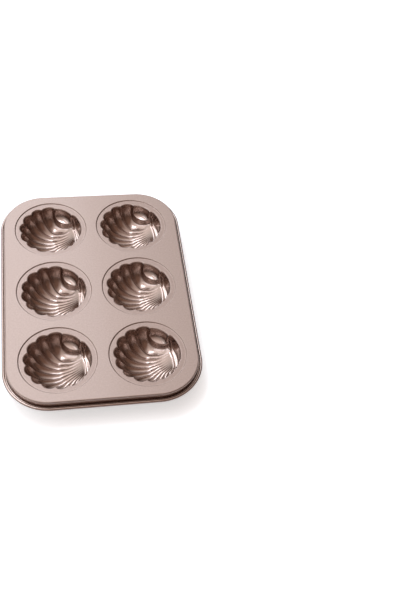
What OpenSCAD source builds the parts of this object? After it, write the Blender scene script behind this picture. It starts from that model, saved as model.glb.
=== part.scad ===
// Six-cup shell madeleine pan, pressed from one steel sheet with a rolled edge.
// The origin is on the table below the middle of the pan, +Y runs to the back and +Z is up.
// The pan is drawn in the areas that the press gives it: a flat deck with six sunk rings,
// six shell-shaped wells set edge to edge in the deck, the skirt bent down round the deck
// and the edge rolled outwards at the skirt's foot.

/* [Sheet] */
// Thickness of the steel sheet
sheet = 0.8; // [0.6:0.1:1.2]

/* [Deck] */
// Width of the deck over its skirt, left to right
deck_w = 180; // [172:0.2:200]
// Length of the deck over its skirt, front to back
deck_l = 257.6; // [250:0.2:290]
// Radius of the deck's corners, measured on the skirt
corner_r = 41; // [30:1:48]
// Deck left between the skirt and the sunk rings at the sides
side_margin = 11.4; // [8:0.1:14]
// Deck left between the skirt and the sunk rings at the front and back
end_margin = 9.9; // [7:0.1:14]
// Least deck between two sunk rings, left to right
web_x = 10.8; // [8:0.1:14]
// Least deck between two sunk rings, front to back
web_y = 9.1; // [7:0.1:14]

/* [Sunk rings] */
// Width of a ring's floor, from the wall of the well to the middle of the ring's step
ring_floor = 6.4; // [5:0.1:8]
// How far the ring is sunk below the deck
ring_drop = 0.9; // [0.4:0.1:1.5]
// Width of the sloping step at the edge of the ring
ring_slope = 1; // [0.6:0.1:2]

/* [Skirt and rolled edge] */
// Radius of the bend between deck and skirt, on the outside
bend_r = 1.4; // [1.2:0.1:3]
// Height from the deck to the middle of the rolled edge
skirt_h = 7.2; // [6:0.1:12]
// Diameter of the rolled edge
curl_d = 2.8; // [2.6:0.1:4]
// Gap left between the skirt and the rolled edge
curl_gap = 1; // [0.3:0.1:1.5]
// How far the edge is rolled round, in degrees
curl_turn = 290; // [240:5:300]

/* [Wells] */
// Depth of a well below its sunk ring
well_depth = 24.9; // [18:0.1:30]
// Fullness of the well: higher values give steeper walls
fullness = 3.5; // [2.5:0.1:4]
// Radius of the rounded edge between the well and its ring
edge_r = 1.3; // [1.2:0.1:2]
// Turn of each well from the left front one, listed row by row from the front
well_turn = [0, 0, -9, -5, 0, 0]; // [-15:1:15]

/* [Ribs] */
// Directions, from the middle of the well, in which the edges between the ribs reach the mouth
rib_ends = [88, 106.5, 131, 159.5, 186, 213, 237, 263, 286, 305, 319, 329, 337]; // [80:0.5:340]
// Bulge of a rib as a share of its width
rib_bulge = 0.19; // [0.1:0.01:0.22]

/* [Knob] */
// Direction of the cusp between the lip and the knob, in degrees
knob_from = 40.7; // [36:0.1:44]
// Direction of the cusp between the knob and the first rib, in degrees
knob_to = 79.5; // [76:0.5:83]
// Depth of the knob's floor below the sunk ring
knob_depth = 13.2; // [9:0.1:16]
// Half the length of the knob's floor, along the mouth of the well
knob_reach = 11; // [10:0.2:12]
// Half the width of the knob's floor, towards the middle of the well
knob_width = 6.8; // [6:0.2:7.6]

/* [Lip] */
// Depth of the smooth lip below the sunk ring
lip_depth = 15; // [12:0.1:17]

/* [Hidden] */

// Facets: columns across each rib and across the lip, and points down each column
rib_steps = 4;
lip_steps = 6;
rows = 8;
arc_steps = 8;
corner_facets = 96;
ring_facets = 120;
// How much closer together the points of a column lie near the mouth
crowding = 1.6;

// The rings take what the margins and webs leave of the deck, across or along
ring_d = min((deck_w - 2 * side_margin - web_x) / 2, (deck_l - 2 * end_margin - 2 * web_y) / 3);
pitch_x = deck_w - 2 * side_margin - ring_d;
pitch_y = (deck_l - 2 * end_margin - ring_d) / 2;
wall_r = ring_d / 2 - ring_floor;
curl_r = curl_d / 2;
// The ribs reach this far below the smooth form and stand on the table
rib_reach = 0.4;
deck_top = ring_drop + well_depth + sheet + rib_reach;
floor_top = deck_top - ring_drop;
half_w = deck_w / 2;
half_l = deck_l / 2;
coating = [0.78, 0.70, 0.67];
coating_deep = [0.62, 0.52, 0.48];

// Guide points below are drawn for a wall of this radius and follow its size
scale_by = wall_r / 30.2;
rib_count = len(rib_ends) - 1;
// Crest of the lip, on which the ribs start, and the lip's outer side
lip_inner = [[23.2, 13.2], [25.8, -1], [24.2, -14.5]] * scale_by;
lip_outer = [[23.2, 13.2], [34, 0.5], [24.2, -14.5]] * scale_by;
// The point on the lip from which the ribs' columns start
pivot = [26.8, -0.5] * scale_by;
// Guide of the bow that the ribs make over the floor
bow = [[3, 16.5], [-13, -19], [16, -6], [27, -10]] * scale_by;
// Radius at which the ribs turn from the floor into the wall, and their share of the way there
foot_r = 27 * scale_by;
turn = 0.72;
// Degrees by which the ribs swing round on the wall, against their share of the fan
swing = [[0, 3.5], [0.17, 3], [0.33, 13], [0.58, 18], [1, 2]];
// Rib positions over which the ribs take over from the arch round the knob
arch_fade = 1.5;
// Share of a rib's bulge that goes outwards, and the share of the first rib that the knob covers
bulge_out = 0.45;
rib_hidden = 0.4;
// Share of a column over which the ribs rise out of the lip, and how round their backs are
rib_start = 0.12;
rib_roundness = 0.8;
// Depth of the cusps beside the knob and swell of the walls of the lip and the knob
cusp = 1 * scale_by;
swell = 0.9 * scale_by;
// Middle of the knob, direction along the mouth and outwards, and the foot of its step
knob_at = [15.5, 25.8] * scale_by;
knob_dir = knob_at / norm(knob_at);
knob_along = [-knob_dir[1], knob_dir[0]];
knob_step = 1.42;
knob_fullness = 8;
knob_corner = 68;
step_rows = 2;
step_share = 0.3;
// How far the mouth is drawn in over the knob, as a share, and how far that spreads beyond it
knob_inset = 0.03;
inset_spread = 1.1;
// How squarely the arch opens at its two ends
arch_flare = 6;
// Roundness of the knob's lobe and of the scallop beside it, and where on the wall they start
lobe_roundness = 0.45;
rest_roundness = 0.8;
lobe_start = 0.8;
// Fullness of the lip's wall
lip_fullness = 0.77;
// Overlaps that join the ring's section to the plate, and the well's opening to its floor
ring_seat = 1;
floor_reach = 4;
// Lean of the ring's step on its underside, as a share of the sheet
step_lean = 0.4;

function lerp(a, b, u) = a + (b - a) * u;
function clamp(v) = max(0, min(1, v));
function smooth(u) = let (v = clamp(u)) v * v * (3 - 2 * v);
function bezier2(p, u) = lerp(lerp(p[0], p[1], u), lerp(p[1], p[2], u), u);
function bezier3(p, u) = lerp(bezier2(p, u), bezier2([p[1], p[2], p[3]], u), u);
function toward(a) = [cos(a), sin(a)];
function wrap(a) = a > 180 ? a - 360 : a;
function angle_of(p) = atan2(p[1], p[0]);

// Radius of the wall at the mouth, drawn in a little over the knob
knob_middle = (knob_from + knob_to) / 2;
knob_half = (knob_to - knob_from) / 2;
function near_knob(a) = max(0, 1 - pow((wrap(a) - knob_middle) / (knob_half * inset_spread), 4));
function mouth(a) = wall_r * (1 - knob_inset * near_knob(a));
function on_mouth(a) = mouth(a) * toward(a);

// Place relative to the knob, 1 at the edge of its floor
function in_knob(p) = let (d = p - knob_at)
    [d * knob_along / (knob_reach * scale_by), d * knob_dir / (knob_width * scale_by)];
function knob_share(p) = let (q = in_knob(p))
    1 - smooth((norm([q[0], min(0, q[1])]) - 1) / (knob_step - 1));

// Depth of the smooth form under the ribs: a full bowl that steps up to the knob
function bowl(rho, depth, full) = edge_r + (depth - edge_r) * sqrt(1 - pow(min(1, rho), full));
function form_depth(p) = let (rho = norm(p) / mouth(angle_of(p)))
    lerp(bowl(rho, well_depth, fullness), bowl(rho, knob_depth, knob_fullness), knob_share(p));

// Direction square to the smooth form, pointing out of the well
function form_normal(p) = let (
    e = 0.3,
    gx = form_depth(p + [e, 0]) - form_depth(p - [e, 0]),
    gy = form_depth(p + [0, e]) - form_depth(p - [0, e]),
    n = [-gx, -gy, -2 * e])
    n / norm(n);

// Share of the way along a column at its point j, closer together near the mouth
function row_share(j) = 1 - pow(1 - j / (rows - 1), crowding);

// Plan of the line at rib position s: over the floor, then up the wall
function end_at(s) = let (i = min(floor(s), rib_count - 1)) lerp(rib_ends[i], rib_ends[i + 1], s - i);
function rib_plan(s, t) = let (
    u = s / rib_count,
    over = bezier3(bow, u),
    foot = foot_r * toward(end_at(s) - lookup(u, swing)),
    top = on_mouth(end_at(s)),
    knee = foot + (foot - over) / norm(foot - over) * norm(top - foot) / 2)
    t < turn ? bezier2([bezier2(lip_inner, u), over, foot], t / turn)
    : bezier2([foot, knee, top], (t - turn) / (1 - turn));

// Plan of the foot of the knob's step, an arch from the lip to the mouth
arch_ends = [in_knob(lip_inner[0]), in_knob(on_mouth(rib_ends[0]))];
function arch_plan(t) = let (
    g = lerp(angle_of(arch_ends[0]), angle_of(arch_ends[1]), t),
    share = knob_step + (norm(arch_ends[0]) - knob_step) * pow(1 - t, arch_flare)
        + (norm(arch_ends[1]) - knob_step) * pow(t, arch_flare))
    knob_at + share * scale_by * (knob_reach * cos(g) * knob_along + knob_width * sin(g) * knob_dir);
function column_plan(s, t) = rib_plan(s, t)
    + max(0, 1 - s / arch_fade) * (arch_plan(t) - rib_plan(0, t));

// How far a rib bulges out of the smooth form, by its width between the neighbouring edges
widths = [for (i = [0:rib_count - 1]) [for (j = [0:rows - 1])
    norm(column_plan(i + 1, row_share(j)) - column_plan(i, row_share(j)))]];
function rib_width(s, j) = let (x = max(0, min(rib_count - 1, s - 0.5)), i = floor(x))
    lerp(widths[i][j], widths[min(i + 1, rib_count - 1)][j], x - i);
function rib_round(s) = pow(abs(sin(180 * (s < 1 ? rib_hidden + (1 - rib_hidden) * s : s))), rib_roundness);
function rib_out(s, j) = rib_bulge * rib_width(s, j) * (rib_round(s) - 1 + bulge_out)
    * smooth(row_share(j) / rib_start);

// A point of the upper face with the direction in which the sheet lies behind it
function face_point(p, out, at_mouth) = let (n = at_mouth ? [each p / norm(p), 0] : form_normal(p))
    [[each p, at_mouth ? -edge_r : -form_depth(p)] + n * out, n];

function rib_point(i, j) = let (s = i / rib_steps)
    face_point(column_plan(s, row_share(j)), rib_out(s, j), j == rows - 1);

// The lip's steep wall, from its outer side to the mouth, and the line where it meets the knob
function lip_point(i, j) = let (
    v = i / lip_steps,
    a = lerp(rib_ends[rib_count], knob_from + 360, v),
    first = bezier2(lip_outer, 1 - v),
    crest = form_depth(bezier2(lip_inner, 1 - v)),
    low = lerp(crest, lip_depth, sqrt(sin(180 * v))),
    g = 90 * j / (rows - 1),
    p = lerp(first, (wall_r + swell) * toward(a), pow(sin(g), lip_fullness)))
    i == lip_steps
    ? face_point(lerp(lip_inner[0], on_mouth(knob_from), row_share(j)),
        -cusp * smooth(row_share(j)), j == rows - 1)
    : [[each p, -lerp(low, edge_r, 1 - pow(cos(g), lip_fullness))], [each toward(a) * sin(g), -cos(g)]];

// The knob, from the foot of its step over its floor to the mouth
function side_share(k) = k <= step_rows ? step_share * k / step_rows
    : 1 - (1 - step_share) * pow(1 - (k - step_rows) / (rows - 1 - step_rows), crowding);
function edge_angle(k) = k <= step_rows ? lerp(rib_ends[0], knob_to, k / step_rows)
    : lerp(knob_to, knob_corner, (k - step_rows) / (rows - 1 - step_rows));
function knob_plan(j, k) = let (
    arch = arch_plan(row_share(j)),
    inner = knob_at + (arch - knob_at) / knob_step,
    outer = on_mouth(lerp(knob_from, knob_corner, row_share(j))),
    w = side_share(k))
    k <= step_rows ? lerp(arch, inner, w / step_share)
    : lerp(inner, outer, (w - step_share) / (1 - step_share));
function knob_out(p) = let (
    a = angle_of(p),
    over_lobe = sin(180 * clamp((a - knob_from) / (knob_to - knob_from))),
    over_rest = clamp((a - knob_to) / (rib_ends[0] - knob_to)),
    lobe = lerp(-cusp, swell, pow(over_lobe, lobe_roundness)),
    rest = lerp(-cusp, rib_out(0, rows - 1), pow(over_rest, rest_roundness)))
    (a > knob_to ? rest : lobe) * smooth((norm(p) / mouth(a) - lobe_start) / (1 - lobe_start));
function knob_point(j, k) = let (
    p = knob_plan(j, k) + pow(j / (rows - 1), 3) * (on_mouth(edge_angle(k)) - knob_plan(rows - 1, k)),
    w = smooth(side_share(k) / step_share))
    face_point(p, lerp(rib_out(0, j), knob_out(p), w), j == rows - 1 || k == rows - 1);

// Columns of points round the pivot, then the knob's grid, which shares two of its sides
ribs = rib_count * rib_steps;
around = ribs + lip_steps;
last_row = rows - 1;
knob_first = around * rows + rows;
mouth_first = knob_first + last_row * last_row;
function at_column(c, j) = c < around ? 1 + c * rows + j : j == 0 ? 1 : around * rows + j;
function at_knob(j, k) = k == 0 ? at_column(0, j) : j == 0 ? at_column(around, k)
    : knob_first + (j - 1) * last_row + k - 1;
faced = concat(
    [[[each pivot, -lip_depth], [0, 0, -1]]],
    [for (c = [0:ribs]) for (j = [0:last_row]) rib_point(c, j)],
    [for (c = [1:lip_steps - 1]) for (j = [0:last_row]) lip_point(c, j)],
    [for (j = [1:last_row]) lip_point(lip_steps, j)],
    [for (j = [1:last_row]) for (k = [1:last_row]) knob_point(j, k)]);
mouth_line = concat(
    [for (j = [0:last_row]) at_knob(j, last_row)],
    [for (k = [last_row - 1:-1:1]) at_knob(last_row, k)],
    [for (c = [0:around - 1]) at_column(c, last_row)]);
mouth_steps = len(mouth_line);

// Rounded edge: an arc from the wall out to the ring's floor, seen from above and from below
function edge_row(g, r) = [for (i = mouth_line) let (p = faced[i][0], q = [p[0], p[1]])
    [each q / norm(q) * (norm(q) + edge_r - r * cos(g)), r * sin(g) - edge_r]];
mouth_outline = [for (q = edge_row(90, edge_r)) [q[0], q[1]]];
upper = concat([for (f = faced) f[0]], edge_row(45, edge_r), edge_row(90, edge_r));
lower = concat([for (f = faced) let (q = f[0] + f[1] * sheet) [q[0], q[1], max(q[2], -floor_top)]],
    edge_row(45, edge_r - sheet), edge_row(90, edge_r - sheet));

// Triangles of the upper face, turned over for the lower one
function quad(a, b, c, d) = [[a, b, c], [a, c, d]];
skin = concat(
    [for (c = [0:around - 1]) [0, at_column((c + 1) % around, 0), at_column(c, 0)]],
    [for (c = [0:around - 1]) for (j = [0:last_row - 1])
        for (f = quad(at_column(c, j), at_column(c + 1, j), at_column(c + 1, j + 1), at_column(c, j + 1)))
        f],
    [for (j = [0:last_row - 1]) for (k = [0:last_row - 1])
        each quad(at_knob(j, k), at_knob(j + 1, k), at_knob(j + 1, k + 1), at_knob(j, k + 1))],
    [for (i = [0:mouth_steps - 1]) let (n = (i + 1) % mouth_steps)
        each concat(
            quad(mouth_line[i], mouth_line[n], mouth_first + n, mouth_first + i),
            quad(mouth_first + i, mouth_first + n,
                mouth_first + mouth_steps + n, mouth_first + mouth_steps + i))]);

// A well as one closed sheet, with the sunk ring's upper face at height 0
module shell_well() {
    below = len(upper);
    seam = mouth_first + mouth_steps;
    rim = [for (i = [0:mouth_steps - 1]) let (n = (i + 1) % mouth_steps)
        each quad(seam + i, seam + n, below + seam + n, below + seam + i)];
    polyhedron(concat(upper, lower),
        concat(skin, [for (f = skin) [f[2] + below, f[1] + below, f[0] + below]], rim));
}

// Place of a well: column 0 or 1 from the left, row 0 to 2 from the front
function well_at(column, row) = [(column - 0.5) * pitch_x, (row - 1) * pitch_y];

module at_well(column, row) {
    translate([each well_at(column, row), floor_top])
    rotate([0, 0, well_turn[row * 2 + column]])
    children();
}

module well(column, row) {
    color(coating_deep) at_well(column, row) shell_well();
}

module at_each_well() {
    for (column = [0, 1], row = [0:2]) at_well(column, row) children();
}

// Section of a sunk ring: the flat floor and the step up to the deck
module ring_section() {
    inside = wall_r - floor_reach;
    foot = ring_d / 2 - ring_slope / 2;
    head = ring_d / 2 + ring_slope / 2;
    lean = sheet * step_lean;
    polygon([[inside, 0], [foot, 0], [head, ring_drop], [head + ring_seat, ring_drop],
        [head + ring_seat, ring_drop - sheet], [head + lean, ring_drop - sheet],
        [foot + lean, -sheet], [inside, -sheet]]);
}

module rounded_plate(w, l, r) {
    linear_extrude(sheet) union() {
        square([w - 2 * r, l], center = true);
        square([w, l - 2 * r], center = true);
        for (x = [-1, 1], y = [-1, 1])
            translate([x * (w / 2 - r), y * (l / 2 - r)]) circle(r, $fn = corner_facets);
    }
}

// The flat top with its six sunk rings and the scalloped openings for the wells
module deck() {
    color(coating) difference() {
        union() {
            difference() {
                translate([0, 0, deck_top - sheet])
                rounded_plate(deck_w - 2 * bend_r, deck_l - 2 * bend_r, corner_r - bend_r);
                at_each_well()
                cylinder(h = 3 * sheet, d = ring_d + ring_slope + ring_seat, $fn = ring_facets);
            }
            at_each_well() rotate_extrude($fn = ring_facets) ring_section();
        }
        at_each_well() translate([0, 0, -2 * sheet])
        linear_extrude(4 * sheet) polygon(mouth_outline);
    }
}

// Runs a section round the deck: x is measured outwards from the skirt's outer face
module round_the_deck() {
    for (side = [0, 1]) rotate([0, 0, side * 180]) {
        translate([half_w - corner_r, half_l - corner_r, 0])
        rotate_extrude(angle = 90, $fn = corner_facets) translate([corner_r, 0]) children();
        translate([corner_r - half_w, half_l - corner_r, 0])
        rotate([0, 0, 90])
        rotate_extrude(angle = 90, $fn = corner_facets) translate([corner_r, 0]) children();
        translate([half_w, half_l - corner_r, 0]) rotate([90, 0, 0])
        linear_extrude(deck_l - 2 * corner_r) children();
        translate([corner_r - half_w, half_l, 0]) rotate([90, 0, 90])
        linear_extrude(deck_w - 2 * corner_r) children();
    }
}

// Points on an arc of radius r about c, from angle a to angle b
function arc(c, r, a, b, steps) = [for (k = [0:steps]) let (g = lerp(a, b, k / steps))
    c + r * [cos(g), sin(g)]];

// Section of the bend and the skirt down to the middle of the rolled edge
module skirt_section() {
    bend_at = [-bend_r, deck_top - bend_r];
    foot = deck_top - skirt_h;
    polygon(concat(arc(bend_at, bend_r, 90, 0, arc_steps), [[0, foot], [-sheet, foot]],
        arc(bend_at, bend_r - sheet, 0, 90, arc_steps)));
}

module skirt() {
    color(coating) round_the_deck() skirt_section();
}

// Section of the rolled edge: outwards under the skirt, then up and round
module curl_section() {
    level = deck_top - skirt_h;
    turn_at = [curl_r - sheet, level];
    curl_at = [curl_gap + curl_r, level];
    inner_r = curl_r - sheet;
    polygon(concat(
        arc(turn_at, curl_r, 180, 270, arc_steps),
        arc(curl_at, curl_r, -90, curl_turn - 90, 3 * arc_steps),
        arc(curl_at, inner_r, curl_turn - 90, -90, 3 * arc_steps),
        arc(turn_at, inner_r, 270, 180, arc_steps)));
}

module rolled_edge() {
    color(coating) round_the_deck() curl_section();
}

module well_front_left() well(0, 0);
module well_front_right() well(1, 0);
module well_middle_left() well(0, 1);
module well_middle_right() well(1, 1);
module well_back_left() well(0, 2);
module well_back_right() well(1, 2);

deck();
skirt();
rolled_edge();
well_front_left();
well_front_right();
well_middle_left();
well_middle_right();
well_back_left();
well_back_right();
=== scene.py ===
"""The panel's sizes and the meshes are in metres. The shapes are worked out in millimetres and turned
into metres where their meshes are made. +Z is up and the pan's front edge faces -Y."""

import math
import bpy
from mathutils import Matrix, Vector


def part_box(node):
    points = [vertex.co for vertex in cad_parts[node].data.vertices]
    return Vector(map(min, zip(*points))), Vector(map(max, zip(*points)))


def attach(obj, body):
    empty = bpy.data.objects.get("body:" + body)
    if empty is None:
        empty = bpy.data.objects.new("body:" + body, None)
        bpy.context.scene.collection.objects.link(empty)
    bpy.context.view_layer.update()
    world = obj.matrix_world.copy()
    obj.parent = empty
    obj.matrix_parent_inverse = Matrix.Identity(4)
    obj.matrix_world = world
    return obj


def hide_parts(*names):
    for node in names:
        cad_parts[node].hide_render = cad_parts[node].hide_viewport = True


bl_info = {
    "name": "Madeleine pan",
    "version": (1, 0, 0),
    "blender": (4, 5, 0),
    "location": "3D View > Sidebar > Madeleine pan",
    "description": "Makes a six-cup shell madeleine pan and the table that it stands on",
    "category": "Add Mesh",
}

import bpy
import numpy as np
from bpy.props import FloatProperty, FloatVectorProperty, IntProperty, PointerProperty
from mathutils import Vector
from mathutils.geometry import delaunay_2d_cdt

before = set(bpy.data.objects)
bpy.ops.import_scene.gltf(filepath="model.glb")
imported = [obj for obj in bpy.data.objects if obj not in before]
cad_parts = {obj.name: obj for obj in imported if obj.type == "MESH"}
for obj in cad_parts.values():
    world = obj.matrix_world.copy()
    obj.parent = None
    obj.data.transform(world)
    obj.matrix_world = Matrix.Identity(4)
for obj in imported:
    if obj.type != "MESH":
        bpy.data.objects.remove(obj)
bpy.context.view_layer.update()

MM = 0.001
# Column and row of every well
WELLS = {
    "well_front_left": (0, 0),
    "well_front_right": (1, 0),
    "well_middle_left": (0, 1),
    "well_middle_right": (1, 1),
    "well_back_left": (0, 2),
    "well_back_right": (1, 2),
}
# Degrees by which two of the wells are pressed round from the others
WELL_TURN = {"well_middle_left": -9.0, "well_middle_right": -5.0}

# The rolled edge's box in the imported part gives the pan's overall size, and the deck's its height
EDGE_LOW, EDGE_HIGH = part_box("rolled_edge")
DECK_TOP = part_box("deck")[1].z


def srgb(text):
    """Linear colour of an sRGB hex value such as #cdb5a8."""
    parts = [int(text[i : i + 2], 16) / 255 for i in (1, 3, 5)]
    return tuple(p / 12.92 if p <= 0.04045 else ((p + 0.055) / 1.055) ** 2.4 for p in parts)


def size(name, words, value):
    """A length on the panel, kept in metres."""
    return FloatProperty(name=name, description=words, default=value, unit="LENGTH", precision=5)


class PanSizes(bpy.types.PropertyGroup):
    """Sizes of the deck, the skirt and the rolled edge."""

    width: size("Width", "Overall width over the rolled edge", EDGE_HIGH.x - EDGE_LOW.x)
    length: size("Length", "Overall length over the rolled edge", EDGE_HIGH.y - EDGE_LOW.y)
    height: size("Height", "Height of the deck above the table", DECK_TOP)
    sheet: size("Sheet", "Thickness of the steel sheet", 0.8 * MM)
    corner: size("Corner radius", "Radius of the corners, measured on the skirt", 41 * MM)
    bend: size("Bend radius", "Radius of the bend between deck and skirt", 1.4 * MM)
    skirt: size("Skirt height", "From the deck down to the middle of the rolled edge", 7.2 * MM)
    bead: size("Rolled edge", "Diameter of the rolled edge", 2.8 * MM)
    crevice: size("Crevice", "Gap between the skirt and the rolled edge", 1.0 * MM)
    pitch_x: size("Pitch across", "Distance between the two columns of wells", 84 * MM)
    pitch_y: size("Pitch along", "Distance between neighbouring rows of wells", 82.3 * MM)
    ring: size("Ring", "Diameter of the sunk ring, in the middle of its step", 73.2 * MM)
    drop: size("Ring depth", "How far a ring is sunk below the deck", 0.9 * MM)
    slope: size("Ring slope", "Width of the ring's sloping step", 1.0 * MM)


class WellSizes(bpy.types.PropertyGroup):
    """Sizes of one shell well."""

    wall: size("Wall radius", "Radius of the well under its rounded edge", 30.2 * MM)
    depth: size("Depth", "Depth below the sunk ring", 24.9 * MM)
    fillet: size("Rounded edge", "Radius of the edge between well and ring", 1.3 * MM)
    knob_depth: size("Knob depth", "Depth of the knob's floor below the ring", 13.2 * MM)
    lip_depth: size("Lip depth", "Depth of the smooth lip below the ring", 15 * MM)
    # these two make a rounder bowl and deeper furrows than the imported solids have
    full: FloatProperty(name="Fullness", description="Higher values give steeper walls", default=2.6)
    bulge: FloatProperty(name="Rib bulge", description="Bulge of a rib as a share of its width", default=0.23)
    across: IntProperty(name="Columns", description="Columns of faces across each rib", default=16, min=4)
    rows: IntProperty(name="Rows", description="Rows of faces from lip to mouth", default=56, min=12)


def colour(name, words, text):
    """A colour on the panel, from its sRGB hex value."""
    return FloatVectorProperty(
        name=name, description=words, default=srgb(text), subtype="COLOR", size=3, min=0, max=1
    )


class Finishes(bpy.types.PropertyGroup):
    """Colours of the coating, the table and the light."""

    deck: colour("Deck coating", "Champagne coating on the deck and the edge", "#ae9b92")
    # the same coating as the deck's, made a little darker and warmer: painted shade of the deep wells
    well: colour("Well coating", "The same coating where the press has polished it", "#a8948b")
    table: colour("Table", "Plain pale table top", "#f3f7fb")
    cloth: colour("Cloth", "Soft white light through cloth, from behind and the left", "#ffffff")
    room: colour("Room", "Dim warm light from in front and above", "#ffd0b8")
    lamp: colour("Lamps", "Daylight lamps in the softboxes", "#e4f1ff")


# Shape of one well, in millimetres round its axis, with the sunk ring at height 0

# Directions in which the edges between the ribs end at the mouth, in degrees
RIB_ENDS = (88, 106.5, 131, 159.5, 186, 213, 237, 263, 286, 305, 319, 329, 337)
RIBS = len(RIB_ENDS) - 1
# Cusps of the mouth on both sides of the knob, and the corner of the knob's patch of faces
KNOB_FROM, KNOB_TO, KNOB_CORNER = 40.7, 79.5, 68.0
# Middle of the knob, its half length and half width, and the width of the step round it
KNOB_AT = np.array((15.5, 25.8))
KNOB_ALONG, KNOB_OUT, KNOB_STEP = 11.0, 6.8, 1.42
# How level the knob's floor is, and by how much and how widely the mouth is flatter over the knob
KNOB_FULL, KNOB_FLAT, KNOB_FLAT_WIDTH = 8.0, 0.03, 1.1
# The floor's gentle slope up to the lip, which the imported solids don't have: its middle, half its
# width and its fade to the sides in degrees, the radius at which it meets the lip, how hollow it is,
# and its share against the plain bowl
RISE_MIDDLE, RISE_HALF, RISE_FADE, LIP_RADIUS, RISE_CURVE = 8, 28, 55, 25, 1.5
RISE_SHARE = 0.85
# Crest of the lip on which the ribs start, and the outer side of the lip
LIP_INNER = ((23.2, 13.2), (25.8, -1.0), (24.2, -14.5))
LIP_OUTER = ((23.2, 13.2), (34.0, 0.5), (24.2, -14.5))
# How soon the lip is at its full depth, how hollow its crescent is, and its rows of faces
LIP_CROWN, LIP_HOLLOW, LIP_BANDS = 0.5, 0.35, 5
# Columns of the crescent for one column of the wall behind it
LIP_COLUMNS = 4
# How far the wall behind the lip leans out past the mouth, how steep it is, the share of its columns
# at each end that are plain wall, how fast they change, and the share that turns into the last rib
LIP_WALL_OUT, LIP_WALL_POWER = 0.9, 2 / 2.6
LIP_END, LIP_END_POWER, LAST_RIB_REACH = 0.1, 0.7, 0.2
# Half width of the round ridges as a share of a rib, their share of the columns, and the width in
# millimetres from which a rib has its full bulge
RIDGE_ROUND, RIDGE_CROWDING, WIDE_RIB = 0.08, 0.12, 6.0
# Section of a rib: how blunt its round is and how far it sinks at the ridges. The arch hides the
# first share of the first rib's round
RIB_POWER, RIB_SINK, RIB_HIDDEN = 0.33, 0.55, 0.4
# Share of the length over which the first rib rises from the lip, and how much longer the last takes
RAMP_FIRST, RAMP_MORE = 0.16, 0.38
# Guide of the ribs' bow over the floor, and how far they swing round on the wall
BOW = ((3, 16.5), (-13, -19), (16, -6), (27, -10))
SWING_AT, SWING = (0, 2, 4, 7, 12), (3.5, 3, 13, 18, 2)
# A rib's rows that lie on the floor, the radius at the wall's foot, and the knee between the two
FLOOR_SHARE, FOOT_RADIUS, KNEE = 0.72, 27.0, 0.5
# Ribs that the arch round the knob pushes aside, and how long the arch keeps its distance
ARCH_REACH, ARCH_HOLD = 1.5, 6
# Share of the knob's rows on its step, and the rows beside the lip over which the step begins
STEP_SHARE, STEP_BLEND = 0.3, 6
# Bulge of the mouth at a cusp and over the knob in millimetres, how square the knob's round and
# the first rib's are there, the share of the radius at which they begin and over which they grow
CUSP_BULGE, KNOB_BULGE = -1.0, 0.9
KNOB_ROUND, HALF_ROUND = 0.45, 0.8
BULGE_FROM, BULGE_OVER = 0.8, 0.2
# Rows are closer together towards the mouth by this power
ROW_CROWDING = 1.6
# Rows of the rounded edge and of the ring's floor, and the seam's distance inside the ring's step
FILLET_ROWS, RING_ROWS, SEAM_IN = 8, (0.12, 0.5, 1.0), 0.9
# Width of the ring's floor beside the seam that is kept level on both faces
LEVEL_RIM = 1.2
# Distance over which slopes of the form are measured
NEAR = 0.1


def smooth(u):
    u = np.clip(u, 0, 1)
    return u * u * (3 - 2 * u)


def mix(a, b, u):
    return a + (b - a) * u


def bezier(points, u):
    """Bezier curve of any degree through plan points, at an array of shares u."""
    p = [np.asarray(q, float) for q in points]
    u = np.asarray(u, float)[..., None]
    while len(p) > 1:
        p = [mix(a, b, u) for a, b in zip(p, p[1:])]
    return p[0]


def on_circle(radius, degrees):
    a = np.radians(degrees)
    return np.stack([radius * np.cos(a), radius * np.sin(a)], -1)


def polar(p):
    """Radius and direction in degrees of plan points."""
    return np.hypot(p[..., 0], p[..., 1]), np.degrees(np.arctan2(p[..., 1], p[..., 0]))


def slope_of(value, p, axis):
    """Slope of a function of the plan along one axis."""
    d = NEAR * np.eye(2)[axis]
    return (value(p + d) - value(p - d)) / (2 * NEAR)


class Net:
    """Points and faces of a surface that is joined up from rows of points."""

    def __init__(self, points=(), faces=()):
        self.points, self.faces = list(points), list(faces)

    def keep(self, grid):
        """Adds a grid of points and gives their numbers."""
        start = len(self.points)
        self.points.extend(grid.reshape(-1, 3))
        return np.arange(start, start + grid[..., 0].size).reshape(grid.shape[:-1])

    def strip(self, a, b, turned=False):
        """Faces between two rows with equally many points."""
        for i in range(len(a) - 1):
            corners = (a[i], a[i + 1], b[i + 1], b[i])
            face = [v for k, v in enumerate(corners) if v != corners[k - 1]]
            if len(face) > 2:
                self.faces.append(face[::-1] if turned else face)

    def ring(self, last, points, turned=False):
        """Adds a closed row and the faces from the closed row before it."""
        now = self.keep(points)
        now = np.append(now, now[0])
        self.strip(last, now, turned)
        return now


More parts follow.
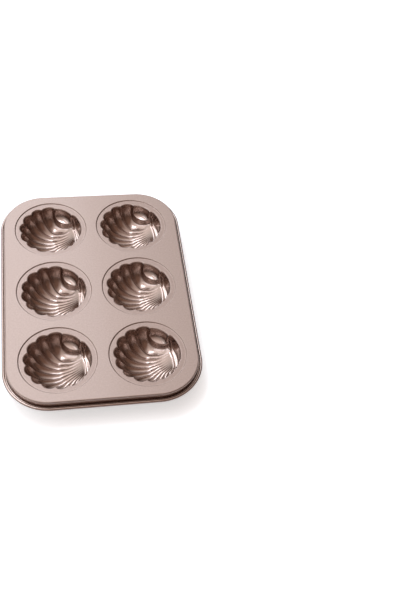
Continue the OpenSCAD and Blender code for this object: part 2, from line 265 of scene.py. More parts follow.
class ShellWell:
    """Makes the upper face of one well."""

    def __init__(self, w, pan):
        self.wall, self.depth, self.fillet = w.wall / MM, w.depth / MM, w.fillet / MM
        self.knob_depth, self.lip_depth = w.knob_depth / MM, w.lip_depth / MM
        self.full, self.bulge = w.full, w.bulge
        self.across, self.rows = w.across, w.rows
        self.seam = (pan.ring - pan.slope) / 2 / MM - SEAM_IN
        self.ends = np.array(RIB_ENDS, float)
        self.knob_out = KNOB_AT / np.linalg.norm(KNOB_AT)
        self.knob_along = np.array([-self.knob_out[1], self.knob_out[0]])

    def mouth(self, degrees):
        """Radius of the wall: a little flatter over the knob."""
        a = (np.asarray(degrees, float) + 180) % 360 - 180
        middle, half = (KNOB_FROM + KNOB_TO) / 2, (KNOB_TO - KNOB_FROM) / 2
        flat = np.maximum(0, 1 - ((a - middle) / (half * KNOB_FLAT_WIDTH)) ** 4)
        return self.wall * (1 - KNOB_FLAT * flat)

    def on_mouth(self, degrees):
        return on_circle(self.mouth(degrees), degrees)

    def knob_share(self, p):
        """1 on the knob's floor, falling to 0 over the step on its inner side."""
        d = p - KNOB_AT
        out = np.minimum(0, d @ self.knob_out)
        distance = np.hypot(d @ self.knob_along / KNOB_ALONG, out / KNOB_OUT)
        return 1 - smooth((distance - 1) / (KNOB_STEP - 1))

    def lip_rise(self, p):
        """Change of depth where the floor slopes gently up to the lip, negative where it is higher."""
        r, a = polar(p)
        off = np.abs((a - RISE_MIDDLE + 180) % 360 - 180)
        beside = smooth((off - RISE_HALF) / RISE_FADE)
        height = self.depth - self.fillet
        bowl = self.fillet + height * np.sqrt(np.maximum(1 - (r / self.wall) ** self.full, 0))
        ramp = self.depth - (self.depth - self.lip_depth) * (r / LIP_RADIUS) ** RISE_CURVE
        higher = np.maximum(bowl - ramp, 0)
        return -RISE_SHARE * higher * smooth(higher) * (1 - beside)

    def form(self, p):
        """Depth of the smooth form, and the unit vector square to it that points out of the well."""
        r, a = polar(p)
        edge = self.mouth(a)
        rho = np.minimum(1, r / edge)
        depths, slopes = [], []
        for deep, n in ((self.depth, self.full), (self.knob_depth, KNOB_FULL)):
            height = deep - self.fillet
            root = np.sqrt(np.maximum(1 - rho**n, 1e-5))
            depths.append(self.fillet + height * np.where(rho < 1, root, 0))
            slopes.append(-height * n * rho ** (n - 1) / (2 * edge * root))
        depths[0] = depths[0] + self.lip_rise(p)
        k = self.knob_share(p)
        step = depths[1] - depths[0]
        radial = p / np.maximum(r, 1e-6)[..., None]
        slope = mix(*slopes, k)
        out = -np.ones((*r.shape, 3))
        for axis in (0, 1):
            on_step = step * slope_of(self.knob_share, p, axis)
            on_rise = (1 - k) * slope_of(self.lip_rise, p, axis)
            out[..., axis] = -slope * radial[..., axis] - on_step - on_rise
        return mix(*depths, k), out / np.linalg.norm(out, axis=-1, keepdims=True)

    def raised(self, plan, bulge):
        """Points in space over a plan: the smooth form, bulged squarely out of it."""
        depth, out = self.form(plan)
        return np.dstack([plan, -depth[..., None]]) + out * bulge[..., None]

    def rib_path(self, s, t):
        """Plan of the line at rib position s: over the floor to the wall's foot, then up to the mouth."""
        start = bezier(LIP_INNER, s / RIBS)
        bow = bezier(BOW, s / RIBS)
        end = np.interp(s, range(RIBS + 1), self.ends)
        foot = on_circle(FOOT_RADIUS, end - np.interp(s, SWING_AT, SWING))
        top = self.on_mouth(end)
        ahead = foot - bow
        ahead = ahead / np.linalg.norm(ahead, axis=-1, keepdims=True)
        knee = foot + ahead * np.linalg.norm(top - foot, axis=-1, keepdims=True) * KNEE
        floor = bezier((start, bow, foot), t / FLOOR_SHARE)
        rise = bezier((foot, knee, top), (t - FLOOR_SHARE) / (1 - FLOOR_SHARE))
        return np.where((t < FLOOR_SHARE)[..., None], floor, rise)

    def arch_path(self, t):
        """Plan of the foot of the knob's step, from the lip to the mouth."""
        axes = np.array([self.knob_along, self.knob_out])
        shares, turns = [], []
        for p in (np.array(LIP_INNER[0]), self.on_mouth(self.ends[0])):
            d = (p - KNOB_AT) @ axes.T / [KNOB_ALONG, KNOB_OUT]
            shares.append(np.hypot(*d))
            turns.append(np.degrees(np.arctan2(d[1], d[0])) % 360)
        turn = np.radians(mix(*turns, t))
        at_lip = (shares[0] - KNOB_STEP) * (1 - t) ** ARCH_HOLD
        at_mouth = (shares[1] - KNOB_STEP) * t**ARCH_HOLD
        share = KNOB_STEP + at_lip + at_mouth
        along = np.outer(share * KNOB_ALONG * np.cos(turn), self.knob_along)
        return KNOB_AT + along + np.outer(share * KNOB_OUT * np.sin(turn), self.knob_out)

    def rib_plan(self, t, arch):
        """Plan of the ribs' lines, and how far each point bulges out of the smooth form."""
        s = np.linspace(0, RIBS, RIBS * self.across + 1)
        # more columns near the ridges between the ribs
        s = s - RIDGE_CROWDING * np.sin(2 * np.pi * s)
        plan = self.rib_path(*np.meshgrid(s, t, indexing="ij"))
        plan += (arch - plan[0])[None] * np.maximum(0, 1 - s / ARCH_REACH)[:, None, None]
        plan[:, -1] = self.on_mouth(np.interp(s, range(RIBS + 1), self.ends))
        # width of each rib along its length, taken between neighbouring edges
        widths = np.linalg.norm(np.diff(plan[:: self.across], axis=0), axis=-1)
        middles = np.arange(RIBS) + 0.5
        width = np.stack([np.interp(s, middles, row) for row in widths.T], 1)
        phase = np.where(s < 1, RIB_HIDDEN + (1 - RIB_HIDDEN) * s, s)
        swell = (np.sin(np.pi * phase) ** 2 + RIDGE_ROUND**2) ** RIB_POWER - RIB_SINK
        ramp = smooth(t[None] / (RAMP_FIRST + RAMP_MORE * s / RIBS)[:, None])
        # narrow ribs are flatter, as a round tool makes them
        return plan, self.bulge * width * np.minimum(1, width / WIDE_RIB) * swell[:, None] * ramp

    def lip_wall(self, t, plan, bulge, crest):
        """Points of the steep wall behind the lip, which is plain wall at both its ends."""
        u = np.linspace(0, 1, RIBS * self.across // LIP_COLUMNS + 1)
        first = bezier(LIP_OUTER, u)[:, None]
        first_z = mix(crest[::LIP_COLUMNS], -self.lip_depth, np.sin(np.pi * u) ** LIP_CROWN)
        lip_ends = np.interp(u, (0, 1), (KNOB_FROM + 360, self.ends[-1]))
        straight = mix(first, self.on_mouth(lip_ends)[:, None], t[None, :, None])
        to_rib = np.maximum(0, 1 - (1 - u) / LAST_RIB_REACH)
        straight += (plan[-1] - straight[-1])[None] * to_rib[:, None, None]
        far, near = (u > 0.5)[:, None], (u <= 0.5)[:, None]
        plain = self.raised(straight, bulge[-1][None] * far + CUSP_BULGE * smooth(t)[None] * near)
        wall = on_circle(self.wall + LIP_WALL_OUT, lip_ends)[:, None]
        lift = np.radians(90 * np.linspace(0, 1, self.rows + 1))
        go, rise = np.sin(lift) ** LIP_WALL_POWER, 1 - np.cos(lift) ** LIP_WALL_POWER
        height = mix(first_z[:, None], -self.fillet, rise[None])
        steep = np.dstack([mix(first, wall, go[None, :, None]), height])
        share = np.clip(np.minimum(u, 1 - u) / LIP_END, 0, 1) ** LIP_END_POWER
        return mix(plain, steep, share[:, None, None])

    def knob_plan(self, t, side, blend, arch):
        """Plan of the knob's patch: over the step, then over the knob's floor to the mouth."""
        inner = (KNOB_AT + (arch - KNOB_AT) / KNOB_STEP)[:, None]
        outer = self.on_mouth(np.interp(t, (0, 1), (KNOB_FROM, KNOB_CORNER)))[:, None]
        on_step = (side / STEP_SHARE)[None, :, None]
        on_floor = ((side - STEP_SHARE) / (1 - STEP_SHARE))[None, :, None]
        folded = np.where(on_step < 1, mix(arch[:, None], inner, on_step), mix(inner, outer, on_floor))
        plan = mix(mix(arch[:, None], outer, t[None, :, None]), folded, blend[:, None, None])
        even = np.linspace(0, 1, self.rows + 1)
        edge = self.on_mouth(np.interp(even, (0, STEP_SHARE, 1), (self.ends[0], KNOB_TO, KNOB_CORNER)))
        return mix(plan, plan + (edge - plan[-1])[None], (even**3)[:, None, None])

    def knob_patch(self, t, arch, bulge):
        """Points of the knob, from the foot of its step to the mouth."""
        step_rows = self.rows // 3
        floor = (1 - np.linspace(0, 1, self.rows - step_rows + 1)[1:]) ** ROW_CROWDING
        side = np.append(np.linspace(0, STEP_SHARE, step_rows + 1), 1 - (1 - STEP_SHARE) * floor)
        blend = smooth(np.arange(self.rows + 1) / STEP_BLEND)
        plan = self.knob_plan(t, side, blend, arch)
        r, a = polar(plan)
        lobe = np.sin(np.pi * np.clip((a - KNOB_FROM) / (KNOB_TO - KNOB_FROM), 0, 1)) ** KNOB_ROUND
        half = np.clip((a - KNOB_TO) / (self.ends[0] - KNOB_TO), 0, 1) ** HALF_ROUND
        over_knob = mix(CUSP_BULGE, KNOB_BULGE, lobe)
        beside_knob = mix(CUSP_BULGE, bulge[0, -1], half)
        lobes = np.where(a > KNOB_TO, beside_knob, over_knob)
        lobes = lobes * smooth((r / self.mouth(a) - BULGE_FROM) / BULGE_OVER)
        past_step = smooth(side / STEP_SHARE)[None]
        at_rib = bulge[0][:, None] * (1 - past_step) + lobes * past_step
        at_lip = CUSP_BULGE * smooth(t)[None]
        return self.raised(plan, mix(at_lip, at_rib, blend[:, None]))

    def join_lip(self, net, ribs, rib_id, wall):
        """Joins the lip's crescent to the ribs, and the wall behind it to the crescent."""
        fine = np.linspace(0, 1, len(ribs))
        crown = np.sin(np.pi * fine) ** LIP_CROWN
        outer = np.column_stack([bezier(LIP_OUTER, fine), mix(ribs[:, 0, 2], -self.lip_depth, crown)])
        last = rib_id[:, 0]
        for m in range(1, LIP_BANDS):
            band = mix(ribs[:, 0], outer, m / LIP_BANDS)
            band[:, 2] -= LIP_HOLLOW * crown * math.sin(math.pi * m / LIP_BANDS)
            now = net.keep(band)
            now[0], now[-1] = rib_id[0, 0], rib_id[-1, 0]
            net.strip(last, now)
            last = now
        wall_id = net.keep(wall)
        wall_id[-1] = rib_id[-1]
        wall_id[0, 0] = rib_id[0, 0]
        # a fan of triangles ends each time in a face with four corners
        for q in range(len(wall_id) - 1):
            near, far = wall_id[q, 0], wall_id[q + 1, 0]
            fan = last[LIP_COLUMNS * q : LIP_COLUMNS * (q + 1) + 1]
            net.faces += [[a, b, near] for a, b in zip(fan[:-2], fan[1:])]
            net.faces.append([fan[-2], fan[-1], far, near])
        for a, b in zip(wall_id, wall_id[1:]):
            net.strip(b, a)
        return wall_id

    def join_rim(self, net, loop):
        """Joins the rounded edge and the ring's floor to the closed line of the mouth."""
        rim = np.array([net.points[i] for i in loop])
        r = np.hypot(rim[:, 0], rim[:, 1])
        away = rim[:, :2] / r[:, None]
        rings = []
        for g in np.linspace(0, 90, FILLET_ROWS + 1)[1:]:
            c, v = math.cos(math.radians(g)), math.sin(math.radians(g))
            rings.append((r + self.fillet * (1 - c), -self.fillet * (1 - v)))
        rings += [(mix(r + self.fillet, self.seam, g), 0.0) for g in RING_ROWS]
        last = np.append(loop, loop[0])
        for radius, z in rings:
            row = np.column_stack([away * radius[:, None], np.full(len(r), z)])
            last = net.ring(last, row, True)

    def upper_face(self):
        """Points and faces of the well's upper face, out to the seam on the sunk ring."""
        t = 1 - (1 - np.linspace(0, 1, self.rows + 1)) ** ROW_CROWDING
        arch = self.arch_path(t)
        plan, bulge = self.rib_plan(t, arch)
        ribs = self.raised(plan, bulge)
        net = Net()
        rib_id = net.keep(ribs)
        for a, b in zip(rib_id, rib_id[1:]):
            net.strip(a, b)
        wall_id = self.join_lip(net, ribs, rib_id, self.lip_wall(t, plan, bulge, ribs[:, 0, 2]))
        knob_id = net.keep(self.knob_patch(t, arch, bulge))
        knob_id[:, 0] = rib_id[0]
        knob_id[0] = wall_id[0]
        for a, b in zip(knob_id, knob_id[1:]):
            net.strip(b, a, True)
        # closed line of the mouth, anticlockwise from the knob's first cusp
        loop = [*knob_id[:-1, -1], *knob_id[-1, :0:-1], *rib_id[:-1, -1], *wall_id[:0:-1, -1]]
        self.join_rim(net, loop)
        return net.points, net.faces


def only_used(points, faces):
    """The same surface without the points that no face uses."""
    used = sorted({v for f in faces for v in f})
    number = {v: i for i, v in enumerate(used)}
    return np.asarray(points)[used], [[number[v] for v in f] for f in faces]


def normals_of(points, faces):
    total = np.zeros_like(points)
    for f in faces:
        p = points[f]
        n = np.cross(p[1] - p[0], p[2] - p[0])
        if len(f) > 3:
            n = n + np.cross(p[2] - p[0], p[3] - p[0])
        total[f] += n
    return total / np.maximum(np.linalg.norm(total, axis=1, keepdims=True), 1e-12)


def boundary_of(faces):
    """Edges that only one face has, in that face's direction."""
    seen = {}
    for f in faces:
        for a, b in zip(f, f[1:] + f[:1]):
            if (b, a) in seen:
                del seen[(b, a)]
            else:
                seen[(a, b)] = True
    return list(seen)


def thicken(points, faces, moved):
    """Closed solid between an upper face and its moved copy."""
    n = len(points)
    solid = list(faces) + [[v + n for v in reversed(f)] for f in faces]
    solid += [[b, a, a + n, b + n] for a, b in boundary_of(faces)]
    return np.vstack([points, moved]), solid


def make_mesh(name, points, faces):
    """A mesh in metres from points in millimetres, without faces that have a corner twice."""
    mesh = bpy.data.meshes.new(name)
    mesh.from_pydata([tuple(p) for p in np.asarray(points) * MM], [], [list(map(int, f)) for f in faces])
    mesh.update()
    mesh.validate()
    return mesh


def as_piece(name, mesh, node, sharp=40):
    """Links a finished mesh as a piece of the pan that stands for a CAD node."""
    mesh.polygons.foreach_set("use_smooth", [True] * len(mesh.polygons))
    mesh.set_sharp_from_angle(angle=math.radians(sharp))
    piece = bpy.data.objects.new(name, mesh)
    bpy.context.scene.collection.objects.link(piece)
    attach(piece, "root")
    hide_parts(node)
    return piece


# Node trees


def add(tree, kind, links=None, **settings):
    """Adds a node with its settings and links: a link is an output socket or a plain value."""
    node = tree.nodes.new(kind)
    for key, value in settings.items():
        setattr(node, key, value)
    for key, value in (links or {}).items():
        socket = node.inputs[key]
        if isinstance(value, bpy.types.NodeSocket):
            tree.links.new(value, socket)
        else:
            socket.default_value = value
    return node


def new_geometry_tree(name, inputs):
    """A tree from geometry to geometry, with the sockets of its other inputs."""
    tree = bpy.data.node_groups.new(name, "GeometryNodeTree")
    tree.interface.new_socket("Geometry", in_out="INPUT", socket_type="NodeSocketGeometry")
    for label, kind in inputs:
        tree.interface.new_socket(label, in_out="INPUT", socket_type=kind)
    tree.interface.new_socket("Geometry", in_out="OUTPUT", socket_type="NodeSocketGeometry")
    return tree, add(tree, "NodeGroupInput").outputs


def sweep_tree():
    """Runs the object's own section round the deck's rounded outline."""
    tree, given = new_geometry_tree(
        "Section round the deck",
        [
            ("Width", "NodeSocketFloat"),
            ("Length", "NodeSocketFloat"),
            ("Corner radius", "NodeSocketFloat"),
            ("Corner steps", "NodeSocketInt"),
            ("Height", "NodeSocketFloat"),
            ("Material", "NodeSocketMaterial"),
        ],
    )
    section = add(tree, "GeometryNodeMeshToCurve", {"Mesh": given["Geometry"]})
    outline = add(
        tree, "GeometryNodeCurvePrimitiveQuadrilateral", {"Width": given["Width"], "Height": given["Length"]}
    )
    rounded = add(
        tree,
        "GeometryNodeFilletCurve",
        {"Curve": outline.outputs["Curve"], "Radius": given["Corner radius"], "Count": given["Corner steps"]},
        mode="POLY",
    )
    upright = add(tree, "GeometryNodeSetCurveNormal", {"Curve": rounded.outputs["Curve"]}, mode="Z_UP")
    swept = add(
        tree,
        "GeometryNodeCurveToMesh",
        {"Curve": upright.outputs["Curve"], "Profile Curve": section.outputs["Curve"], "Fill Caps": False},
    )
    lift = add(tree, "ShaderNodeCombineXYZ", {"Z": given["Height"]})
    raised = add(
        tree,
        "GeometryNodeTransform",
        {"Geometry": swept.outputs["Mesh"], "Translation": lift.outputs["Vector"]},
    )
    finish_tree(tree, raised.outputs["Geometry"], given["Material"])
    return tree


def place_tree():
    """Puts one copy of the pressed well on its place in the deck."""
    tree, given = new_geometry_tree(
        "Well on its place",
        [
            ("Across", "NodeSocketFloat"),
            ("Along", "NodeSocketFloat"),
            ("Height", "NodeSocketFloat"),
            ("Turn", "NodeSocketFloat"),
            ("Material", "NodeSocketMaterial"),
        ],
    )
    place = add(
        tree, "ShaderNodeCombineXYZ", {"X": given["Across"], "Y": given["Along"], "Z": given["Height"]}
    )
    point = add(tree, "GeometryNodePoints", {"Count": 1, "Position": place.outputs["Vector"]})
    turn = add(tree, "ShaderNodeCombineXYZ", {"Z": given["Turn"]})
    copies = add(
        tree,
        "GeometryNodeInstanceOnPoints",
        {
            "Points": point.outputs[0],
            "Instance": given["Geometry"],
            "Rotation": turn.outputs["Vector"],
        },
    )
    finish_tree(tree, copies.outputs["Instances"], given["Material"])
    return tree


def finish_tree(tree, geometry, material):
    """Ends a tree with plain geometry in one material."""
    real = add(tree, "GeometryNodeRealizeInstances", {"Geometry": geometry})
    inputs = {"Geometry": real.outputs["Geometry"], "Material": material}
    painted = add(tree, "GeometryNodeSetMaterial", inputs)
    add(tree, "NodeGroupOutput", {"Geometry": painted.outputs["Geometry"]})


def run_tree(tree, mesh, **values):
    """The plain mesh that the tree makes of a mesh. Words in a name are joined by _ here."""
    carrier = bpy.data.objects.new("carrier", mesh)
    bpy.context.scene.collection.objects.link(carrier)
    modifier = carrier.modifiers.new("tree", "NODES")
    modifier.node_group = tree
    for item in tree.interface.items_tree:
        if item.in_out == "INPUT" and item.name != "Geometry":
            modifier[item.identifier] = values[item.name.replace(" ", "_").lower()]
    graph = bpy.context.evaluated_depsgraph_get()
    made = bpy.data.meshes.new_from_object(carrier.evaluated_get(graph))
    carrier.modifiers.remove(modifier)
    bpy.data.objects.remove(carrier)
    return made


# Materials and light

# Metallic, roughness and coat weight where the coating is as sprayed, and where it is pressed
SATIN = (0.85, 0.5, 0.2)
PRESSED = (1.0, 0.2, 1.0)
# Depth below the flat sheet's top at which the coating starts to be pressed, in metres
PRESSED_BELOW = 0.1 * MM
# Sizes of the grain and the droplets, in metres, and what the grain does to the surface
GRAIN, GRAIN_HEIGHT, GRAIN_STRENGTH = 0.2 * MM, 0.02 * MM, 0.15
DROPLETS = 1.5 * MM
COAT_ROUGHNESS = 0.1
# Bright patches round the table: direction, cosine at which the patch begins, and strength
CLOTH_PATCHES = (
    ((-0.2, 0.5, 0.87), 0.5, 0.65),
    ((-0.7, -0.1, 0.7), 0.5, 0.55),
    ((-0.55, 0.65, 0.4), 0.3, 0.32),
)
ROOM_PATCHES = (((0.0, -0.3, 1.0), 0.25, 0.26),)
ROOM_LEVEL = 0.06
# Strength of the glow that lifts the table to white
TABLE_GLOW = 0.55
# Lamps that face the pan: name, place in metres, width, height and power
LAMPS = (
    ("tall softbox behind", (-0.15, 0.85, 1.0), 0.4, 0.9, 3.3),
    ("high softbox", (-0.37, 0.31, 1.2), 0.35, 0.35, 2.1),
    ("low strip behind", (-0.21, 1.2, 0.44), 0.7, 0.25, 1.2),
    ("softbox on the left", (-0.9, -0.1, 0.9), 0.6, 0.4, 0.9),
)


def empty_material(name):
    """The material of that name with an empty node tree, and the tree."""
    material = bpy.data.materials.get(name) or bpy.data.materials.new(name)
    material.use_nodes = True
    material.node_tree.nodes.clear()
    return material, material.node_tree


def satin_coating(name, base, pressed_from=None, pressed_to=None):
    """Champagne release coating sprayed on steel: a pale metallic paint whose fine grain spreads
    the light, under a thin clear top coat that gives the small sharp highlights. Between two
    heights the press has rubbed it smoother, which gives the wells their sharper reflections."""
    material, tree = empty_material(name)
    where = add(tree, "ShaderNodeTexCoord")
    # real grain is about 0.05 mm and is drawn four times as coarse, so that it shows
    speck = add(
        tree,
        "ShaderNodeTexNoise",
        {"Vector": where.outputs["Object"], "Scale": 1 / GRAIN, "Detail": 2.0, "Roughness": 0.6},
    )
    bump = add(
        tree,
        "ShaderNodeBump",
        {"Height": speck.outputs[0], "Strength": GRAIN_STRENGTH, "Distance": GRAIN_HEIGHT},
    )
    # sprayed droplets differ a little in tone; real ones are about 0.3 mm, drawn five times as coarse
    droplets = add(
        tree,
        "ShaderNodeTexNoise",
        {"Vector": where.outputs["Object"], "Scale": 1 / DROPLETS, "Detail": 1.0, "Roughness": 0.5},
    )
    tone = add(
        tree,
        "ShaderNodeMapRange",
        {"Value": droplets.outputs[0], "From Min": 0.3, "From Max": 0.7, "To Min": 0.95, "To Max": 1.05},
    )
    paint_colour = add(tree, "ShaderNodeVectorMath", {0: base, "Scale": tone.outputs[0]}, operation="SCALE")
    finish = dict(zip(("Metallic", "Roughness", "Coat Weight"), SATIN))
    if pressed_from is not None:
        height = add(tree, "ShaderNodeSeparateXYZ", {"Vector": where.outputs["Object"]}).outputs["Z"]
        for key, satin, pressed in zip(finish, SATIN, PRESSED):
            finish[key] = add(
                tree,
                "ShaderNodeMapRange",
                {
                    "Value": height,
                    "From Min": pressed_from,
                    "From Max": pressed_to,
                    "To Min": satin,
                    "To Max": pressed,
                },
            ).outputs["Result"]
    paint = add(
        tree,
        "ShaderNodeBsdfPrincipled",
        {
            "Base Color": paint_colour.outputs[0],
            **finish,
            "Coat Roughness": COAT_ROUGHNESS,
            "Normal": bump.outputs["Normal"],
        },
    )
    add(tree, "ShaderNodeOutputMaterial", {"Surface": paint.outputs["BSDF"]})
    return material


def table_paint(base):
    """Matt white lacquered board: no gloss, only the pan's soft shadow shows on it. A glow that
    only the camera sees lifts it to white."""
    material, tree = empty_material("Matt white lacquer")
    paint = add(tree, "ShaderNodeBsdfDiffuse", {"Color": (*base, 1)})
    ray = add(tree, "ShaderNodeLightPath")
    seen = add(
        tree, "ShaderNodeMath", {0: ray.outputs["Is Camera Ray"], 1: TABLE_GLOW}, operation="MULTIPLY"
    )
    glow = add(tree, "ShaderNodeEmission", {"Color": (1, 1, 1, 1), "Strength": seen.outputs[0]})
    lit = add(tree, "ShaderNodeAddShader", {0: paint.outputs["BSDF"], 1: glow.outputs["Emission"]})
    add(tree, "ShaderNodeOutputMaterial", {"Surface": lit.outputs["Shader"]})
    return material


def patchy_light(tree, light, level, patches):
    """Background light of one colour: an even level and soft brighter patches."""
    where = add(tree, "ShaderNodeTexCoord").outputs["Generated"]
    for direction, start, strength in patches:
        facing = add(
            tree,
            "ShaderNodeVectorMath",
            {0: where, 1: Vector(direction).normalized()},
            operation="DOT_PRODUCT",
        )
        patch = add(
            tree,
            "ShaderNodeMapRange",
            {"Value": facing.outputs["Value"], "From Min": start, "From Max": 1.0, "To Max": strength},
            interpolation_type="SMOOTHSTEP",
        )
        total = add(tree, "ShaderNodeMath", {0: level, 1: patch.outputs["Result"]}, operation="ADD")
        level = total.outputs[0]
    background = add(tree, "ShaderNodeBackground", {"Color": (*light, 1), "Strength": level})
    return background.outputs["Background"]


def soft_tent(world, cloth, room):
    """Light tent: white cloth lit from behind and from the left, and dim warm light in front. The
    camera itself sees plain white."""
    world.use_nodes = True
    tree = world.node_tree
    tree.nodes.clear()
    both = add(
        tree,
        "ShaderNodeAddShader",
        {
            0: patchy_light(tree, cloth, 0.0, CLOTH_PATCHES),
            1: patchy_light(tree, room, ROOM_LEVEL, ROOM_PATCHES),
        },
    )
    seen = add(tree, "ShaderNodeLightPath").outputs["Is Camera Ray"]
    white = add(tree, "ShaderNodeBackground", {"Color": (1, 1, 1, 1), "Strength": 1.0})
    world_light = add(
        tree, "ShaderNodeMixShader", {0: seen, 1: both.outputs["Shader"], 2: white.outputs["Background"]}
    )
    add(tree, "ShaderNodeOutputWorld", {"Surface": world_light.outputs["Shader"]})


# Outlines of the deck and sections of its edge, in millimetres

# Steps of a rounded corner
CORNER_STEPS = 32
# Width of the flat strip that the skirt keeps beside its bend, so that the seam stays invisible
GUARD = 0.3
# Points round a sunk ring, and rows down its step
RING_STEPS, STEP_ROWS = 192, 10
# Width of the level strips on the deck outside the step and on the ring inside it
COLLAR, FOOT_STRIP = 0.4, 0.3
# Steps of the bend, of the skirt's turn into the roll and of the roll, and the roll's last direction
BEND_STEPS, TURN_STEPS, ROLL_STEPS, ROLL_END = 14, 8, 32, 200


def rounded_outline(half_w, half_l, radius):
    """Points of a rectangle with rounded corners, anticlockwise."""
    points = []
    for x, y, start in ((1, 1, 0), (-1, 1, 90), (-1, -1, 180), (1, -1, 270)):
        a = np.radians(start + 90 * np.arange(CORNER_STEPS + 1) / CORNER_STEPS)
        points += [
            (x * (half_w - radius) + radius * c, y * (half_l - radius) + radius * v)
            for c, v in zip(np.cos(a), np.sin(a))
        ]
    return points


def circle_at(centre, radius):
    """Points round a sunk ring's centre."""
    turns = np.radians(np.arange(RING_STEPS) * 360 / RING_STEPS)
    return [(centre[0] + radius * math.cos(a), centre[1] + radius * math.sin(a)) for a in turns]


def pierced_plate(outline, holes):
    """Triangles between an outline and its holes: their points, faces and every loop's numbers."""
    coords, loops = [], []
    for loop in (outline, *holes):
        loops.append(list(range(len(coords), len(coords) + len(loop))))
        coords += [Vector(p) for p in loop]
    edges = [(a, b) for loop in loops for a, b in zip(loop, loop[1:] + loop[:1])]
    flat, _, fill = delaunay_2d_cdt(coords, edges, [], 0, 1e-6)[:3]
    # a triangle with all its corners on one ring lies in that ring's opening
    loop_of = {v: k for k, loop in enumerate(loops) for v in loop}
    faces = []
    for tri in fill:
        touched = {loop_of[v] for v in tri}
        if touched != {0} and len(touched) == 1:
            continue
        area = sum(flat[a].cross(flat[b]) for a, b in zip(tri, tri[1:] + tri[:1]))
        faces.append(tri if area > 0 else tri[::-1])
    return [(p.x, p.y, 0.0) for p in flat], faces, loops


def arc(centre, radius, start, end, steps):
    a = np.radians(np.linspace(start, end, steps + 1))
    return [(centre[0] + radius * c, centre[1] + radius * v) for c, v in zip(np.cos(a), np.sin(a))]


def edge_sections(pan):
    """Closed sections of the skirt with its bend, and of the rolled edge, by node."""
    sheet, bend, skirt = pan.sheet / MM, pan.bend / MM, pan.skirt / MM
    bead, gap = pan.bead / 2 / MM, pan.crevice / MM
    bend_at, turn_at, bead_at = (-bend, -bend), (bead - sheet, -skirt), (gap + bead, -skirt)
    return {
        "skirt": [(-bend - GUARD, 0)]
        + arc(bend_at, bend, 90, 0, BEND_STEPS)
        + [(0, -skirt), (-sheet, -skirt)]
        + arc(bend_at, bend - sheet, 0, 90, BEND_STEPS)
        + [(-bend - GUARD, -sheet)],
        "rolled_edge": arc(turn_at, bead, 180, 270, TURN_STEPS)
        + arc(bead_at, bead, -90, ROLL_END, ROLL_STEPS)[1:]
        + arc(bead_at, bead - sheet, ROLL_END, -90, ROLL_STEPS)
        + arc(turn_at, bead - sheet, 270, 180, TURN_STEPS)[1:],
    }


def section_mesh(name, section):
    """A closed line for the sweep: x is measured outwards, and y, which the sweep turns over, upwards."""
    mesh = bpy.data.meshes.new(name)
    n = len(section)
    points = [(x * MM, -y * MM, 0) for x, y in section]
    mesh.from_pydata(points, [(i, (i + 1) % n) for i in range(n)], [])
    return mesh


# Operators


class MakeWells(bpy.types.Operator):
    """Makes the six shell wells, each with its rounded edge and half of the sunk ring's floor"""

    bl_idname = "pan.wells"
    bl_label = "Wells"

    def execute(self, context):
        pan, w, f = context.scene.pan_sizes, context.scene.well_sizes, context.scene.finishes
        shape = ShellWell(w, pan)
        points, faces = only_used(*shape.upper_face())
        if not faces:
            raise RuntimeError("the well has no faces")
        up = normals_of(points, faces)
        level = np.hypot(points[:, 0], points[:, 1]) > shape.seam - LEVEL_RIM
        up[level] = (0, 0, 1)
        under = points - up * (pan.sheet / MM)
        # the underside's lowest points lie flat on the table
        ring_height = pan.height - pan.drop
        under[:, 2] = np.maximum(under[:, 2], -ring_height / MM)
        solid = make_mesh("pressed well", *thicken(points, faces, under))
        tree = place_tree()
        # the wells' colour holds painted shade: it is the deck's coating made a little darker and warmer
        coating = satin_coating(
            "Champagne coating, pressed smooth",
            f.well,
            ring_height - PRESSED_BELOW,
            ring_height - w.fillet,
        )
        for name, (column, row) in WELLS.items():
            mesh = run_tree(
                tree,
                solid,
                across=(column - 0.5) * pan.pitch_x,
                along=(row - 1) * pan.pitch_y,
                height=ring_height,
                turn=math.radians(WELL_TURN.get(name, 0)),
                material=coating,
            )
            as_piece(name + "_shell", mesh, name, 60)
        return {"FINISHED"}


class MakeDeck(bpy.types.Operator):
    """Makes the flat deck with the steps of its six sunk rings"""

    bl_idname = "pan.deck"
    bl_label = "Deck"

    def execute(self, context):
        pan, f = context.scene.pan_sizes, context.scene.finishes
        inset = (pan.crevice + pan.bead + pan.bend) / MM + GUARD
        half_w, half_l = pan.width / 2 / MM - inset, pan.length / 2 / MM - inset
        outline = rounded_outline(half_w, half_l, (pan.corner - pan.bend) / MM - GUARD)
        head, foot = (pan.ring + pan.slope) / 2 / MM, (pan.ring - pan.slope) / 2 / MM
        centres = [
            ((c - 0.5) * pan.pitch_x / MM, (r - 1) * pan.pitch_y / MM) for c, r in WELLS.values()
        ]
        holes = [circle_at(centre, head + COLLAR) for centre in centres]
        points, faces, loops = pierced_plate(outline, holes)
        net = Net(points, faces)
        radii = [mix(head, foot, g) for g in np.linspace(0, 1, STEP_ROWS + 1)]
        radii += [foot - FOOT_STRIP, foot - SEAM_IN]
        for centre, loop in zip(centres, loops[1:]):
            last = loop + loop[:1]
            for r in radii:
                z = -pan.drop / MM * smooth((head - r) / (head - foot))
                last = net.ring(last, np.array([(x, y, z) for x, y in circle_at(centre, r)]))
        points = np.array(net.points)
        points[:, 2] += pan.height / MM
        under = points - [0, 0, pan.sheet / MM]
        mesh = make_mesh("deck plate", *thicken(points, net.faces, under))
        mesh.materials.append(satin_coating("Champagne coating, satin", f.deck))
        as_piece("deck_plate", mesh, "deck")
        return {"FINISHED"}


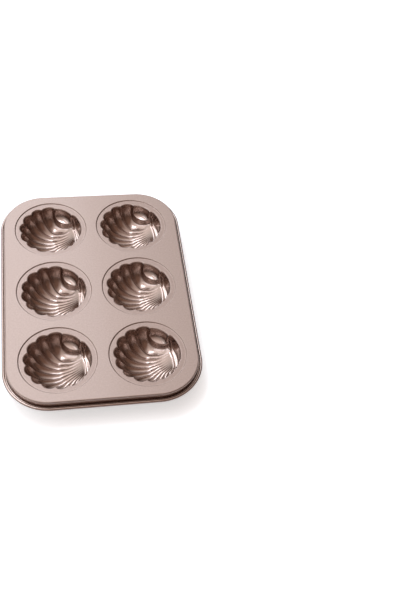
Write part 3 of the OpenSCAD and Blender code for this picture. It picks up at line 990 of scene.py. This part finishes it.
class MakeEdge(bpy.types.Operator):
    """Sweeps the bend with the skirt, and the rolled edge, round the deck"""

    bl_idname = "pan.edge"
    bl_label = "Skirt and rolled edge"

    def execute(self, context):
        pan, f = context.scene.pan_sizes, context.scene.finishes
        tree = sweep_tree()
        coating = satin_coating(
            "Champagne coating, bent smooth", f.deck, pan.height - PRESSED_BELOW, pan.height - pan.bend
        )
        outside = 2 * (pan.crevice + pan.bead)
        for node, section in edge_sections(pan).items():
            mesh = run_tree(
                tree,
                section_mesh(node, section),
                width=pan.width - outside,
                length=pan.length - outside,
                corner_radius=pan.corner,
                corner_steps=CORNER_STEPS,
                height=pan.height,
                material=coating,
            )
            if not mesh.polygons:
                raise RuntimeError("the sweep made nothing of " + node)
            as_piece(node + "_sheet", mesh, node)
        return {"FINISHED"}


# Half the table's side in millimetres, and the camera's lens in millimetres, place in metres and
# turn in degrees
TABLE_HALF, LENS = 4000, 50.6
CAMERA_AT, CAMERA_TURN = (-0.0340, -0.5281, 0.6889), (37.96, -5.17, -8.42)


class MakeStage(bpy.types.Operator):
    """Makes the table, the lamps, the soft light and the camera"""

    bl_idname = "pan.stage"
    bl_label = "Table, light and camera"

    def execute(self, context):
        f = context.scene.finishes
        corners = [(x * TABLE_HALF, y * TABLE_HALF, 0) for x, y in ((-1, -1), (1, -1), (1, 1), (-1, 1))]
        mesh = make_mesh("table", corners, [[0, 1, 2, 3]])
        mesh.materials.append(table_paint(f.table))
        table = bpy.data.objects.new("table", mesh)
        context.scene.collection.objects.link(table)

        world = bpy.data.worlds.new("room")
        context.scene.world = world
        soft_tent(world, f.cloth, f.room)

        for name, place, width, height, power in LAMPS:
            data = bpy.data.lights.new(name, "AREA")
            data.shape, data.size, data.size_y = "RECTANGLE", width, height
            data.energy, data.color = power, f.lamp
            lamp = bpy.data.objects.new(name, data)
            lamp.location = place
            lamp.rotation_euler = Vector(place).to_track_quat("Z", "Y").to_euler()
            context.scene.collection.objects.link(lamp)

        data = bpy.data.cameras.new("camera")
        data.sensor_width, data.lens = 36.0, LENS
        camera = bpy.data.objects.new("camera", data)
        camera.location = CAMERA_AT
        camera.rotation_euler = [math.radians(d) for d in CAMERA_TURN]
        context.scene.collection.objects.link(camera)
        context.scene.camera = camera
        context.scene.view_settings.view_transform = "Standard"
        return {"FINISHED"}


class PanPanel(bpy.types.Panel):
    """Lists the pan's sizes, colours and steps"""

    bl_idname = "VIEW3D_PT_madeleine_pan"
    bl_label = "Madeleine pan"
    bl_space_type = "VIEW_3D"
    bl_region_type = "UI"
    bl_category = "Madeleine pan"

    def draw(self, context):
        scene = context.scene
        for group in (scene.pan_sizes, scene.well_sizes, scene.finishes):
            box = self.layout.box()
            for name in group.__annotations__:
                box.prop(group, name)
        for step in STEPS:
            self.layout.operator(step.bl_idname)


GROUPS = {"pan_sizes": PanSizes, "well_sizes": WellSizes, "finishes": Finishes}
STEPS = (MakeWells, MakeDeck, MakeEdge, MakeStage)


def register():
    for kind in (*GROUPS.values(), *STEPS, PanPanel):
        bpy.utils.register_class(kind)
    for name, kind in GROUPS.items():
        setattr(bpy.types.Scene, name, PointerProperty(type=kind))


def unregister():
    for name in GROUPS:
        delattr(bpy.types.Scene, name)
    for kind in reversed((*GROUPS.values(), *STEPS, PanPanel)):
        bpy.utils.unregister_class(kind)


def main():
    register()
    for step in STEPS:
        group, name = step.bl_idname.split(".")
        getattr(getattr(bpy.ops, group), name)()


if __name__ == "__main__":
    main()
